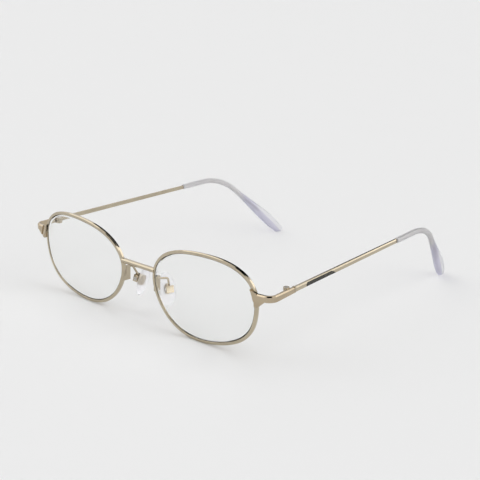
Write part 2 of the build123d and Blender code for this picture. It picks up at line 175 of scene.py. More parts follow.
class FrontSizes(bpy.types.PropertyGroup):
    """Lens outline and rim wire."""
    lens_width: FloatProperty(
        name="Lens width", description="Width of a lens seen from the front",
        default=49.6 * MM, subtype="DISTANCE")
    lens_height: FloatProperty(
        name="Lens height", description="Height of a lens seen from the front",
        default=33.6 * MM, subtype="DISTANCE")
    lens_spacing: FloatProperty(
        name="Lens spacing", description="Shortest distance between the two lens edges",
        default=18.4 * MM, subtype="DISTANCE")
    lens_thickness: FloatProperty(
        name="Lens thickness", description="Thickness of the lens",
        default=1.8 * MM, subtype="DISTANCE")
    curve_radius: FloatProperty(
        name="Lens curve", description="Radius that the lens is curved to",
        default=130.0 * MM, subtype="DISTANCE")
    fullness: FloatVectorProperty(
        name="Fullness", description="How much fuller than an ellipse the outline is, by harmonic",
        size=6, default=(0.0173, 0.0426, 0.0484, 0.0126, -0.0192, 0.0176))
    tilt: FloatProperty(
        name="Tilt", description="Lean of the front from upright",
        default=math.radians(4.4), subtype="ANGLE")
    wrap: FloatProperty(
        name="Wrap", description="Turn of each lens towards the temple",
        default=math.radians(2.6), subtype="ANGLE")
    rim_outside: FloatProperty(
        name="Rim outside", description="How far the wire stands out from the lens edge",
        default=0.8 * MM, subtype="DISTANCE")
    rim_depth: FloatProperty(
        name="Rim depth", description="Depth of the wire from front to back",
        default=1.6 * MM, subtype="DISTANCE")
    rim_bevel: FloatProperty(
        name="Rim bevel", description="Where the outer corners of the wire are cut: 2 is not at all",
        default=1.6)
    groove_depth: FloatProperty(
        name="Groove depth", description="Depth of the groove that holds the lens",
        default=0.55 * MM, subtype="DISTANCE")
    groove_width: FloatProperty(
        name="Groove width", description="Width of the groove that holds the lens",
        default=0.9 * MM, subtype="DISTANCE")
    roundness: FloatProperty(
        name="Roundness", description="Exponent of the wire's section: 2 is round, more is squarer",
        default=5.0)
    split_height: FloatProperty(
        name="Joint height", description="Height of the joint of the wire over the lens middle",
        default=4.9 * MM, subtype="DISTANCE")
    split_gap: FloatProperty(
        name="Joint gap", description="Gap between the two ends of the wire",
        default=0.25 * MM, subtype="DISTANCE")


class TempleSizes(bpy.types.PropertyGroup):
    """Line of the temple and its clear tip."""
    converge: FloatProperty(
        name="Converge", description="Turn of the temple towards the middle",
        default=math.radians(3.9), subtype="ANGLE")
    rise: FloatProperty(
        name="Rise", description="Climb of the temple towards the ear",
        default=math.radians(3.1), subtype="ANGLE")
    line_outside: FloatProperty(
        name="Line outside", description="How far the line of the tip is outside the hinge",
        default=1.825 * MM, subtype="DISTANCE")
    collar: FloatProperty(
        name="Collar", description="From the hinge to the mouth of the tip",
        default=69.5 * MM, subtype="DISTANCE")
    bend_corner: FloatProperty(
        name="Bend", description="From the mouth of the tip to the corner of its bend",
        default=23.6 * MM, subtype="DISTANCE")
    bend_radius: FloatProperty(
        name="Bend radius", description="Radius of the bend behind the ear",
        default=25.0 * MM, subtype="DISTANCE")
    drop: FloatProperty(
        name="Drop", description="How steeply the tip goes down",
        default=math.radians(45.8), subtype="ANGLE")
    inward: FloatProperty(
        name="Inward", description="How far the tip turns towards the head",
        default=math.radians(11.7), subtype="ANGLE")
    sleeve_radius: FloatProperty(
        name="Sleeve radius", description="Radius of the round front part of the tip",
        default=1.15 * MM, subtype="DISTANCE")
    sleeve_length: FloatProperty(
        name="Sleeve length", description="Length of the round front part of the tip",
        default=14.0 * MM, subtype="DISTANCE")
    height_at_bend: FloatProperty(
        name="Height at bend", description="Height of the tip at its bend",
        default=2.5 * MM, subtype="DISTANCE")
    thickness: FloatProperty(
        name="Thickness", description="Thickness of the flat part of the tip",
        default=2.3 * MM, subtype="DISTANCE")
    paddle_height: FloatProperty(
        name="Paddle height", description="Largest height of the tip",
        default=6.0 * MM, subtype="DISTANCE")
    paddle_from_end: FloatProperty(
        name="Paddle from end", description="From the highest place of the tip to its end",
        default=9.5 * MM, subtype="DISTANCE")
    end_height: FloatProperty(
        name="End height", description="Height of the tip at its end",
        default=3.8 * MM, subtype="DISTANCE")
    end_thickness: FloatProperty(
        name="End thickness", description="Thickness of the tip at its end",
        default=1.4 * MM, subtype="DISTANCE")
    short_of_floor: FloatProperty(
        name="Short of floor", description="How far before the floor the line of the tip ends",
        default=0.4 * MM, subtype="DISTANCE")


class PadSizes(bpy.types.PropertyGroup):
    """Silicone nose pads."""
    splay: FloatProperty(
        name="Splay", description="Turn of the pad about the upright",
        default=math.radians(20), subtype="ANGLE")
    slope: FloatProperty(
        name="Slope", description="Lean of the pad along the nose",
        default=math.radians(15), subtype="ANGLE")
    height: FloatProperty(
        name="Height", description="Height of the pad",
        default=13.2 * MM, subtype="DISTANCE")
    width: FloatProperty(
        name="Width", description="Width of the pad",
        default=7.6 * MM, subtype="DISTANCE")
    thickness: FloatProperty(
        name="Thickness", description="Thickness of the pad",
        default=2.5 * MM, subtype="DISTANCE")
    narrowing: FloatProperty(
        name="Narrowing", description="Share by which the pad narrows towards its top",
        default=0.16)


class FinishColours(bpy.types.PropertyGroup):
    """Colours of the finishes."""
    plating: FloatVectorProperty(
        name="Plating", description="Colour of the champagne gold plating",
        subtype="COLOR", size=3, min=0.0, max=1.0, default=(0.53, 0.46, 0.345))
    warm_plating: FloatVectorProperty(
        name="Warm plating", description="Colour of the plating on the endpieces",
        subtype="COLOR", size=3, min=0.0, max=1.0, default=(0.51, 0.42, 0.30))
    steel: FloatVectorProperty(
        name="Steel", description="Colour of the screws and of the core wires in the tips",
        subtype="COLOR", size=3, min=0.0, max=1.0, default=(0.62, 0.60, 0.57))
    enamel: FloatVectorProperty(
        name="Enamel", description="Colour of the temple inlays",
        subtype="COLOR", size=3, min=0.0, max=1.0, default=(0.022, 0.021, 0.016))
    sleeve: FloatVectorProperty(
        name="Sleeve", description="Tint of the temple tips at their mouth",
        subtype="COLOR", size=3, min=0.0, max=1.0, default=(0.76, 0.75, 0.76))
    paddle: FloatVectorProperty(
        name="Paddle", description="Tint of the temple tips at their end",
        subtype="COLOR", size=3, min=0.0, max=1.0, default=(0.61, 0.60, 0.70))
    # Painted highlight: a paler tint where the key light would fall on the rear side of the tips
    lit_facet: FloatVectorProperty(
        name="Facet", description="Tint of the rear facet of the temple tips",
        subtype="COLOR", size=3, min=0.0, max=1.0, default=(0.79, 0.79, 0.80))
    backdrop: FloatVectorProperty(
        name="Backdrop", description="Colour of the floor and the background",
        subtype="COLOR", size=3, min=0.0, max=1.0, default=(0.83, 0.83, 0.83))


class StudioSizes(bpy.types.PropertyGroup):
    """Camera and studio light."""
    camera_place: FloatVectorProperty(
        name="Camera", description="Where the camera stands",
        size=3, subtype="TRANSLATION", unit="LENGTH", default=(0.3086, -0.34285, 0.1527))
    camera_azimuth: FloatProperty(
        name="Azimuth", description="Turn of the camera round the frame",
        default=math.radians(42.98), subtype="ANGLE")
    camera_elevation: FloatProperty(
        name="Elevation", description="How far the camera looks down",
        default=math.radians(16.19), subtype="ANGLE")
    camera_roll: FloatProperty(
        name="Roll", description="Lean of the camera about its own axis",
        default=math.radians(1.225), subtype="ANGLE")
    focal_length: FloatProperty(
        name="Focal length", description="Focal length in millimetres on a 36 mm sensor",
        default=84.7)
    floor_size: FloatProperty(
        name="Floor size", description="Side of the floor",
        default=12.0, subtype="DISTANCE")
    key_direction: FloatVectorProperty(
        name="Key direction", description="Direction from the frame to the key softbox",
        size=3, default=(0.375, 0.629, 0.682))
    key_strength: FloatProperty(
        name="Key strength", description="Brightness of the key softbox",
        default=2.0)
    fill_direction: FloatVectorProperty(
        name="Fill direction", description="Direction from the frame to the fill softbox",
        size=3, default=(-0.66, -0.28, 0.70))
    fill_strength: FloatProperty(
        name="Fill strength", description="Brightness of the fill softbox",
        default=1.8)
    front_direction: FloatVectorProperty(
        name="Front direction", description="Direction from the frame to the softbox over the camera",
        size=3, default=(0.46, -0.70, 0.54))
    front_strength: FloatProperty(
        name="Front strength", description="Brightness of the softbox over the camera",
        default=1.9)
    side_direction: FloatVectorProperty(
        name="Side direction", description="Direction from the frame to the softbox at its left",
        size=3, default=(0.88, 0.15, 0.45))
    side_strength: FloatProperty(
        name="Side strength", description="Brightness of the softbox at the frame's left",
        default=2.2)
    rear_direction: FloatVectorProperty(
        name="Rear direction", description="Direction from the frame to the low softbox behind it",
        size=3, default=(0.38, 0.87, 0.30))
    rear_strength: FloatProperty(
        name="Rear strength", description="Brightness of the low softbox behind the frame",
        default=2.0)
    flag_directions: FloatVectorProperty(
        name="Flag directions",
        description="Directions from the frame to the middles of the black flags",
        size=3 * FLAGS, default=(
            0.10, -0.43, 0.90,
            0.36, -0.48, 0.80,
            0.219, -0.171, 0.945,
            -0.30, 0.78, 0.55,
            0.12, 0.72, 0.69))
    flag_sizes: FloatVectorProperty(
        name="Flag sizes", description="Radius of each black flag, as an angle",
        size=FLAGS, default=tuple(math.radians(size) for size in (12, 9, 15, 20, 12)))
    sky_strength: FloatProperty(
        name="Overhead strength", description="Brightness of the overhead diffuser",
        default=0.99)
    wall_strength: FloatProperty(
        name="Wall strength", description="Share of the light that is left on the dark wall",
        default=0.12)


# Expressions on sockets

class Signal:
    """A socket of a node tree that adds a Math node for each operator used on it."""

    def __init__(self, tree, socket):
        self.tree = tree
        self.socket = socket

    def math(self, operation, *values):
        node = self.tree.nodes.new("ShaderNodeMath")
        node.operation = operation
        for slot, value in zip(node.inputs, values):
            feed(self.tree, slot, value)
        return Signal(self.tree, node.outputs[0])

    def __add__(self, other):
        return self.math("ADD", self, other)

    __radd__ = __add__

    def __sub__(self, other):
        return self.math("SUBTRACT", self, other)

    def __rsub__(self, other):
        return self.math("SUBTRACT", other, self)

    def __mul__(self, other):
        return self.math("MULTIPLY", self, other)

    __rmul__ = __mul__

    def __truediv__(self, other):
        return self.math("DIVIDE", self, other)

    def __rtruediv__(self, other):
        return self.math("DIVIDE", other, self)

    def __pow__(self, other):
        return self.math("POWER", self, other)

    def __abs__(self):
        return self.math("ABSOLUTE", self)

    def sign(self):
        return self.math("SIGN", self)

    def larger(self, other):
        return self.math("MAXIMUM", self, other)

    def smaller(self, other):
        return self.math("MINIMUM", self, other)


def feed(tree, slot, value):
    """Links a signal to an input, or sets the input's own value."""
    if isinstance(value, Signal):
        tree.links.new(value.socket, slot)
    else:
        slot.default_value = value


class Graph:
    """A node tree under construction."""

    def __init__(self, tree):
        self.tree = tree
        tree.nodes.clear()

    def node(self, kind, settings=None, **values):
        """Adds a node; its settings come first, then values or signals for its inputs by name."""
        node = self.tree.nodes.new(kind)
        for key, value in (settings or {}).items():
            setattr(node, key, value)
        for key, value in values.items():
            feed(self.tree, node.inputs[key.replace("_", " ")], value)
        return node

    def signal(self, kind, output, settings=None, **values):
        return Signal(self.tree, self.node(kind, settings, **values).outputs[output])

    def ramp(self, value, low, high, start=0.0, end=1.0):
        """Goes smoothly from start to end as the value goes from low to high."""
        node = self.node(
            "ShaderNodeMapRange", {"interpolation_type": "SMOOTHSTEP"}, Value=value,
            From_Min=low, From_Max=high, To_Min=start, To_Max=end)
        return Signal(self.tree, node.outputs["Result"])

    def mixed(self, share, first, second):
        """A colour between two colours."""
        node = self.node("ShaderNodeMix", {"data_type": "RGBA"})
        feed(self.tree, node.inputs["Factor"], share)
        for number, colour in zip(MIX_INPUTS, (first, second)):
            feed(self.tree, node.inputs[number], colour)
        return Signal(self.tree, node.outputs[MIX_RESULT])

    def noise(self, size, detail=2.0):
        """Noise on the object's own coordinates, with features of about that size in metres."""
        place = self.signal("ShaderNodeTexCoord", "Object")
        return self.signal(
            "ShaderNodeTexNoise", "Fac", Vector=place, Scale=1.0 / size, Detail=detail)

    def lengthwise(self):
        """How far back a point lies on the object's own coordinates."""
        place = self.signal("ShaderNodeTexCoord", "Object")
        return Signal(self.tree, self.node("ShaderNodeSeparateXYZ", Vector=place).outputs["Y"])

    def bump(self, height, depth):
        """A normal from a height signal, with that depth in metres."""
        return self.signal("ShaderNodeBump", "Normal", Height=height, Distance=depth)

    def surface(self, shader):
        """Ends a material with its shader."""
        self.node("ShaderNodeOutputMaterial", Surface=Signal(self.tree, shader.outputs[0]))


def new_material(name):
    material = bpy.data.materials.new(name)
    material.use_nodes = True
    return material, Graph(material.node_tree)


def opaque(colour):
    return (*colour, 1.0)


def shade_of(colour, share):
    return tuple(channel * share for channel in colour)


def roughened(marks, least, added):
    """The least roughness, and what the marks add to it."""
    return marks * added + least


def plated_metal(name, colour, gloss, core_colour=None, core_start=0.0):
    """Polished plating with faint clouds and fine wiping marks.

    With a core colour, what lies behind core_start is a bare core wire.
    """
    material, graph = new_material(name)
    clouds = graph.noise(size=6 * MM)
    marks = graph.noise(size=0.7 * MM, detail=4.0)
    peel = graph.noise(size=0.35 * MM)
    cloudy = graph.ramp(clouds, low=0.35, high=0.7)
    tone = graph.mixed(cloudy, opaque(colour), opaque(shade_of(colour, share=0.9)))
    if core_colour:
        bare = graph.ramp(graph.lengthwise(), core_start, core_start + CORE_EDGE)
        tone = graph.mixed(bare, tone, opaque(core_colour))
    shader = graph.node(
        "ShaderNodeBsdfPrincipled", Base_Color=tone, Metallic=1.0,
        Roughness=roughened(marks, least=gloss, added=0.06),
        Normal=graph.bump(peel, depth=0.002 * MM))
    graph.surface(shader)
    return material


def turned_steel(name, colour):
    """Small screws: satin steel with fine turning marks."""
    material, graph = new_material(name)
    grain = graph.noise(size=0.12 * MM, detail=3.0)
    tone = graph.mixed(grain, opaque(colour), opaque(shade_of(colour, share=0.8)))
    shader = graph.node(
        "ShaderNodeBsdfPrincipled", Base_Color=tone, Metallic=1.0,
        Roughness=roughened(grain, least=0.18, added=0.2),
        Normal=graph.bump(grain, depth=0.004 * MM))
    graph.surface(shader)
    return material


def enamel(name, colour):
    """Dark brown enamel, a little cloudy."""
    material, graph = new_material(name)
    clouds = graph.noise(size=1.5 * MM, detail=3.0)
    cloudy = graph.ramp(clouds, low=0.4, high=0.65)
    tone = graph.mixed(cloudy, opaque(colour), opaque(shade_of(colour, share=2.2)))
    shader = graph.node(
        "ShaderNodeBsdfPrincipled", Base_Color=tone, Specular_IOR_Level=0.35,
        Roughness=roughened(clouds, least=0.2, added=0.15))
    graph.surface(shader)
    return material


def clear_body(name, colour, gloss, index, cloud_size, clearness=1.0):
    """A clear solid that lets the light through to what stands behind it."""
    material, graph = new_material(name)
    clouds = graph.noise(cloud_size)
    cloudy = shade_of(colour, share=0.97)
    tone = graph.mixed(clouds, opaque(colour), opaque(cloudy))
    shader = graph.node(
        "ShaderNodeBsdfPrincipled", Base_Color=tone, IOR=index, Transmission_Weight=clearness,
        Roughness=roughened(clouds, least=gloss, added=0.03))
    lit_through(graph, shader, cloudy)
    return material


def milky_tip(name, colours):
    """Milky clear acetate: grey at the mouth, lavender and a painted rear highlight towards the end.
    """
    material, graph = new_material(name)
    clouds = graph.noise(size=3 * MM)
    low, high = (corner.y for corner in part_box("left_temple_tip"))
    along = (graph.lengthwise() - low) / (high - low)
    lavender = graph.ramp(along, *LAVENDER_SPAN)
    # The side of each section that faces the light, where the highlight is painted
    behind = graph.signal("ShaderNodeAttribute", "Fac", {"attribute_name": "behind"})
    wider = graph.ramp(along, *LIT_FACET_WIDENING_SPAN, end=LIT_FACET_WIDER_BY)
    # Painted highlight: the lit rear side of the paddle gets a paler tint
    lit_facet = graph.ramp(along, *LIT_FACET_SPAN) * graph.ramp(behind + wider, *LIT_FACET_EDGE)
    tone = graph.mixed(lavender, opaque(colours.sleeve), opaque(colours.paddle))
    tone = graph.mixed(lit_facet, tone, opaque(colours.lit_facet))
    shader = graph.node(
        "ShaderNodeBsdfPrincipled", Base_Color=tone, IOR=1.45, Transmission_Weight=0.55,
        Roughness=roughened(clouds, least=0.3, added=0.06))
    lit_through(graph, shader, shade_of(colours.paddle, share=0.8))
    return material


def lit_through(graph, shader, tint):
    """Ends a material whose shadow is only as dark as the tint."""
    bare = graph.node("ShaderNodeBsdfTransparent", Color=opaque(tint))
    shadow = graph.signal("ShaderNodeLightPath", "Is Shadow Ray")
    both = graph.node("ShaderNodeMixShader")
    feed(graph.tree, both.inputs[0], shadow)
    graph.tree.links.new(shader.outputs[0], both.inputs[1])
    graph.tree.links.new(bare.outputs[0], both.inputs[2])
    graph.surface(both)


def matte_floor(name, colour):
    """Plain matt backdrop whose colour hardly varies."""
    material, graph = new_material(name)
    grain = graph.noise(size=40 * MM)
    tone = graph.mixed(grain, opaque(colour), opaque(shade_of(colour, share=0.995)))
    shader = graph.node(
        "ShaderNodeBsdfPrincipled", Base_Color=tone, Roughness=0.9, Specular_IOR_Level=0.1)
    graph.surface(shader)
    return material


# Meshes

def mesh_object(name, mesh):
    piece = bpy.data.objects.new(name, mesh)
    bpy.context.scene.collection.objects.link(piece)
    return piece


def baked(piece):
    """Turns what the piece's modifiers make into its own plain mesh."""
    depsgraph = bpy.context.evaluated_depsgraph_get()
    mesh = bpy.data.meshes.new_from_object(piece.evaluated_get(depsgraph))
    piece.modifiers.clear()
    piece.data = mesh
    return piece


@contextmanager
def reshaped(mesh):
    """Opens a mesh for changes, and writes them back at the end."""
    shape = bmesh.new()
    shape.from_mesh(mesh)
    yield shape
    shape.to_mesh(mesh)
    shape.free()


def soften_shading(mesh, limit):
    """Smooth shading, broken along edges sharper than the limit."""
    with reshaped(mesh) as shape:
        for face in shape.faces:
            face.smooth = True
        for edge in shape.edges:
            edge.smooth = len(edge.link_faces) == 2 and edge.calc_face_angle(math.pi) < limit


def skinned(name, loops, front=None, back=None):
    """A closed skin through loops with equal numbers of points.

    Its ends close on the given points, or on the middles of the first and the last loop.
    """
    mesh = bpy.data.meshes.new(name)
    count = len(loops[0])
    points = [point for loop in loops for point in loop]
    faces = []
    for row in range(len(loops) - 1):
        for step in range(count):
            after = (step + 1) % count
            below, above = row * count, (row + 1) * count
            faces.append((below + step, below + after, above + after, above + step))
    for middle, row in ((front, 0), (back, len(loops) - 1)):
        points.append(middle or sum(loops[row], Vector()) / count)
        for step in range(count):
            faces.append((row * count + step, row * count + (step + 1) % count, len(points) - 1))
    mesh.from_pydata(points, [], faces)
    outward(mesh)
    return mesh


def outward(mesh):
    """Merges doubles and turns every face outwards."""
    with reshaped(mesh) as shape:
        bmesh.ops.remove_doubles(shape, verts=shape.verts, dist=DOUBLES)
        bmesh.ops.recalc_face_normals(shape, faces=shape.faces)


def signed_power(value, power):
    return math.copysign(abs(value) ** power, value)


def eased(value, stations):
    """A size that changes smoothly between (place, size) stations."""
    for (start, before), (end, after) in zip(stations, stations[1:]):
        if value <= end:
            part = min(max((value - start) / (end - start), 0), 1)
            return before + (after - before) * part * part * (3 - 2 * part)
    return stations[-1][1]


def mirrored(points, side):
    return [Vector((point.x * side, point.y, point.z)) for point in points]


def dressed(piece, node, material):
    """Gives a piece its finish and puts it in the place of its CAD node."""
    piece.data.materials.clear()
    piece.data.materials.append(material)
    cad = frame["nodes"][node]
    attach(piece, cad["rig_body"])
    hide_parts(node)
    return piece


def slot_of(node):
    entries = frame["record"]["subparts"]
    return next(entry["material_slot"] for entry in entries if entry["node"] == node)


FINISHES = {}


def finish(kind):
    """The material of a slot, or of the endpieces or the temples, made once."""
    if not FINISHES:
        colours = bpy.context.scene.eyeglass_colours
        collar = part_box("left_temple_tip")[0].y
        FINISHES.update(
            gold=plated_metal("champagne plating", colours.plating, gloss=0.06),
            endpiece=plated_metal("warm champagne plating", colours.warm_plating, gloss=0.1),
            temple=plated_metal(
                "champagne temple plating", colours.plating, gloss=0.08,
                core_colour=colours.steel, core_start=collar),
            screw=turned_steel("turned steel", colours.steel),
            inlay=enamel("dark enamel", colours.enamel),
            lens=clear_body("coated lens", LENS_TINT, gloss=0.0, index=1.3, cloud_size=20 * MM),
            clear_tip=milky_tip("milky clear tip", colours),
            silicone=clear_body(
                "clear silicone", SILICONE_TINT, gloss=0.3, index=1.25, cloud_size=2 * MM,
                clearness=0.88))
    return FINISHES[kind]


# Lens outline

def outline_point(front, turn):
    """A point of the lens edge in the lens's own axes: x outwards, y back, z up."""
    waves = (
        1, math.sin(2 * turn), math.cos(turn),
        math.sin(turn), math.cos(2 * turn), math.sin(3 * turn))
    swell = 1 + math.sin(2 * turn) * sum(share * wave for share, wave in zip(front.fullness, waves))
    across = front.lens_width / 2 * math.cos(turn) * swell
    up = front.lens_height / 2 * math.sin(turn) * swell
    return on_curve(front, across, up)


def on_curve(front, across, up):
    """The point of the lens's middle surface at that place."""
    radius = front.curve_radius
    return Vector((across, radius - math.sqrt(radius**2 - across**2 - up**2), up))


def edge_axes(front, turn):
    """A point of the lens edge, with its outward and backward directions."""
    here = outline_point(front, turn)
    before, after = outline_point(front, turn - TURN_STEP), outline_point(front, turn + TURN_STEP)
    along = (after - before).normalized()
    backward = (Vector((0, front.curve_radius, 0)) - here).normalized()
    return here, backward.cross(along).normalized(), backward


def edge_loop(front, outward_by, backward_by, count):
    """A loop of points at a distance outside and behind the lens edge."""
    loop = []
    for step in range(count):
        here, out, back = edge_axes(front, 2 * math.pi * step / count)
        loop.append(here + out * outward_by + back * backward_by)
    return loop


def front_turned(front):
    """From the lens's own axes to the frame's, before it is lifted off the floor."""
    half_spacing = (front.lens_spacing + front.lens_width) / 2
    return (
        Matrix.Rotation(front.tilt, 4, "X")
        @ Matrix.Translation((half_spacing, 0, 0))
        @ Matrix.Rotation(front.wrap, 4, "Z"))


def lens_loops(front):
    """Loops over the front face, round the bevelled edge and back over the rear face."""
    half = front.lens_thickness / 2
    seat = -front.groove_depth - LENS_PLAY
    lip = front.groove_width / 2
    rim_loop = edge_loop(front, seat, 0, LENS_SIDES)
    centre = Vector((0, front.curve_radius, 0))
    ground = 1 - LENS_CHAMFER / (front.lens_width / 2)
    rings = [(ground * ring / LENS_RINGS, half) for ring in range(1, LENS_RINGS + 1)]
    rings.append((1, lip + LENS_PLAY))
    faces = []
    for side in (1, -1):
        loops = []
        for share, lift in rings:
            scale = 1 + side * lift / front.curve_radius
            middle = [on_curve(front, point.x * share, point.z * share) for point in rim_loop]
            loops.append([centre + (point - centre) * scale for point in middle])
        faces.append(loops)
    bevel = [(seat, -lip), (-LENS_PLAY, 0), (seat, lip)]
    edge = [edge_loop(front, out, back, LENS_SIDES) for out, back in bevel]
    return faces[0] + edge + faces[1][::-1]


def front_placed(front):
    """A function that carries points from a lens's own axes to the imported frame's."""
    turned = front_turned(front)
    low = Vector(map(min, zip(*(turned @ point for loop in lens_loops(front) for point in loop))))
    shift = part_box("left_lens")[0] - low
    return lambda points, side: mirrored([turned @ point + shift for point in points], side)


# Operators

class GLASSES_OT_hardware(bpy.types.Operator):
    """Round the edges of the metal pieces and finish them"""
    bl_idname = "glasses.hardware"
    bl_label = "Hardware"

    def execute(self, context):
        for node in frame["nodes"]:
            kind = node.split("_", 1)[1] if "_" in node else node
            if kind in SOFT_EDGES:
                material = finish(kind if kind in ("endpiece", "temple") else slot_of(node))
                soft_edged(node, SOFT_EDGES[kind] * MM, material)
        return {"FINISHED"}


def soft_edged(node, width, material):
    """A merged copy of a CAD node with its sharp edges rounded off."""
    mesh = frame["nodes"][node].data.copy()
    with reshaped(mesh) as shape:
        bmesh.ops.remove_doubles(shape, verts=shape.verts, dist=CAD_DOUBLES)
        bmesh.ops.dissolve_limit(
            shape, angle_limit=FLAT_LIMIT, verts=shape.verts, edges=shape.edges)
    soften_shading(mesh, EDGE_LIMIT)
    piece = mesh_object(node + "_polished", mesh)
    bevel = piece.modifiers.new("round", "BEVEL")
    bevel.width = width
    bevel.segments = EDGE_SEGMENTS
    bevel.limit_method = "ANGLE"
    bevel.angle_limit = EDGE_LIMIT
    bevel.harden_normals = True
    bevel.use_clamp_overlap = True
    dressed(baked(piece), node, material)


class GLASSES_OT_rims(bpy.types.Operator):
    """Draw the rim wires round the lenses"""
    bl_idname = "glasses.rims"
    bl_label = "Rims"

    def execute(self, context):
        front = context.scene.eyeglass_front
        tree = swept_wire_tree()
        placed = front_placed(front)
        sizes = {
            "Outside": front.rim_outside,
            "Inside": front.groove_depth,
            "Depth": front.rim_depth,
            "Roundness": front.roundness,
            "Bevel": front.rim_bevel,
            "Groove Width": front.groove_width,
            "Finish": finish("gold"),
        }
        for name, side in SIDES.items():
            wire = wire_guide(name + "_rim_wire", front, placed, side)
            run_tree(wire, tree, sizes)
            outward(wire.data)
            soften_shading(wire.data, RIM_LIMIT)
            dressed(wire, name + "_rim", finish("gold"))
        return {"FINISHED"}


def wire_guide(name, front, placed, side):
    """The lens edge as a line, open at the joint, with its outward directions."""
    start = math.asin(front.split_height / (front.lens_height / 2))
    moved = outline_point(front, start + TURN_STEP) - outline_point(front, start)
    gap = front.split_gap / 2 / (moved.length / TURN_STEP)
    points, outs = [], []
    for step in range(WIRE_STEPS + 1):
        here, out, _ = edge_axes(front, start + gap + (2 * math.pi - 2 * gap) * step / WIRE_STEPS)
        points.append(here)
        outs.append(here + out)
    points, outs = placed(points, side), placed(outs, side)
    mesh = bpy.data.meshes.new(name)
    mesh.from_pydata(points, [(step, step + 1) for step in range(WIRE_STEPS)], [])
    attribute = mesh.attributes.new("outwards", "FLOAT_VECTOR", "POINT")
    for step, (point, out) in enumerate(zip(points, outs)):
        attribute.data[step].vector = out - point
    return mesh_object(name, mesh)


def swept_wire_tree():
    """Sweeps a rounded, grooved section along a guide line that carries its outward directions."""
    tree = bpy.data.node_groups.new("swept_wire", "GeometryNodeTree")
    sockets = tree.interface
    sockets.new_socket("Guide", in_out="INPUT", socket_type="NodeSocketGeometry")
    for name in ("Outside", "Inside", "Depth", "Roundness", "Bevel", "Groove Width"):
        sockets.new_socket(name, in_out="INPUT", socket_type="NodeSocketFloat")
    sockets.new_socket("Finish", in_out="INPUT", socket_type="NodeSocketMaterial")
    sockets.new_socket("Wire", in_out="OUTPUT", socket_type="NodeSocketGeometry")
    graph = Graph(tree)
    given = graph.node("NodeGroupInput")
    size = {name: Signal(tree, given.outputs[name]) for name in given.outputs.keys() if name}
    circle = graph.signal(
        "GeometryNodeCurvePrimitiveCircle", "Curve", Resolution=SECTION_POINTS, Radius=1.0)
    position = graph.signal("GeometryNodeInputPosition", "Position")
    place = graph.node("ShaderNodeSeparateXYZ", Vector=position)
    power = 2 / size["Roundness"]
    across, along = (Signal(tree, place.outputs[axis]) for axis in ("X", "Y"))
    across, along = across.sign() * abs(across) ** power, along.sign() * abs(along) ** power
    reach = (across.larger(0.0) + abs(along)).larger(1.0)
    cut = (size["Bevel"] / reach).smaller(1.0)
    out = (size["Outside"] - size["Inside"]) / 2 + (
        (size["Outside"] + size["Inside"]) / 2 * across * cut)
    deep = size["Depth"] / 2 * along * cut
    groove = abs(deep) * -2 / size["Groove Width"] * size["Inside"]
    corner = graph.signal("ShaderNodeCombineXYZ", "Vector", X=out.larger(groove), Y=deep)
    section = graph.signal("GeometryNodeSetPosition", "Geometry", Geometry=circle, Position=corner)
    line = graph.signal("GeometryNodeMeshToCurve", "Curve", Mesh=size["Guide"])
    outwards = graph.signal(
        "GeometryNodeInputNamedAttribute", "Attribute", {"data_type": "FLOAT_VECTOR"}, Name="outwards")
    line = graph.signal(
        "GeometryNodeSetCurveNormal", "Curve", {"mode": "FREE"}, Curve=line, Normal=outwards)
    swept = graph.node("GeometryNodeCurveToMesh", Curve=line, Fill_Caps=True)
    feed(tree, swept.inputs["Profile Curve"], section)
    real = graph.signal(
        "GeometryNodeRealizeInstances", "Geometry", Geometry=Signal(tree, swept.outputs["Mesh"]))
    ready = graph.signal("GeometryNodeSetMaterial", "Geometry", Geometry=real, Material=size["Finish"])
    graph.node("NodeGroupOutput", Wire=ready)
    return tree


def run_tree(piece, tree, sizes):
    """Runs a node tree on a piece with named sizes, and keeps the mesh that it makes."""
    modifier = piece.modifiers.new(tree.name, "NODES")
    modifier.node_group = tree
    inputs = [item for item in tree.interface.items_tree if item.in_out == "INPUT"]
    names = {item.name: item.identifier for item in inputs}
    for name, value in sizes.items():
        modifier[names[name]] = value
    baked(piece)


class GLASSES_OT_lenses(bpy.types.Operator):
    """Grind the two lenses to the outline, with a bevel that sits in the rim"""
    bl_idname = "glasses.lenses"
    bl_label = "Lenses"

    def execute(self, context):
        front = context.scene.eyeglass_front
        placed = front_placed(front)
        loops = lens_loops(front)
        half = front.lens_thickness / 2
        for name, side in SIDES.items():
            middles = placed([Vector((0, -half, 0)), Vector((0, half, 0))], side)
            mesh = skinned(name + "_lens_ground", [placed(loop, side) for loop in loops], *middles)
            soften_shading(mesh, LENS_LIMIT)
            dressed(mesh_object(mesh.name, mesh), name + "_lens", finish("lens"))
        return {"FINISHED"}


class GLASSES_OT_tips(bpy.types.Operator):
    """Shape the clear temple tips round their core wires"""
    bl_idname = "glasses.tips"
    bl_label = "Temple tips"

    def execute(self, context):
        temple = context.scene.eyeglass_temple
        for name, side in SIDES.items():
            loops = [mirrored(loop, side) for loop in tip_loops(temple)]
            mesh = skinned(name + "_clear_tip", loops)
            # Marks round each section where the tip's shader paints its highlight
            behind = mesh.attributes.new("behind", "FLOAT", "POINT")
            for step, mark in enumerate(behind.data):
                mark.value = -math.sin(2 * math.pi * step / TIP_SIDES)
            cut_at_floor(mesh)
            soften_shading(mesh, TIP_LIMIT)
            dressed(mesh_object(mesh.name, mesh), name + "_temple_tip", finish("clear_tip"))
        return {"FINISHED"}


def temple_axes(temple):
    """Axes of the left temple at its hinge: x away from the head, y back, z along the pin."""
    joint = next(j for j in frame["joints"] if j["child"] == "left_temple")
    return (
        Matrix.Translation(joint["pos_m"])
        @ Matrix.Rotation(temple.converge, 4, "Z")
        @ Matrix.Rotation(temple.rise, 4, "X"))


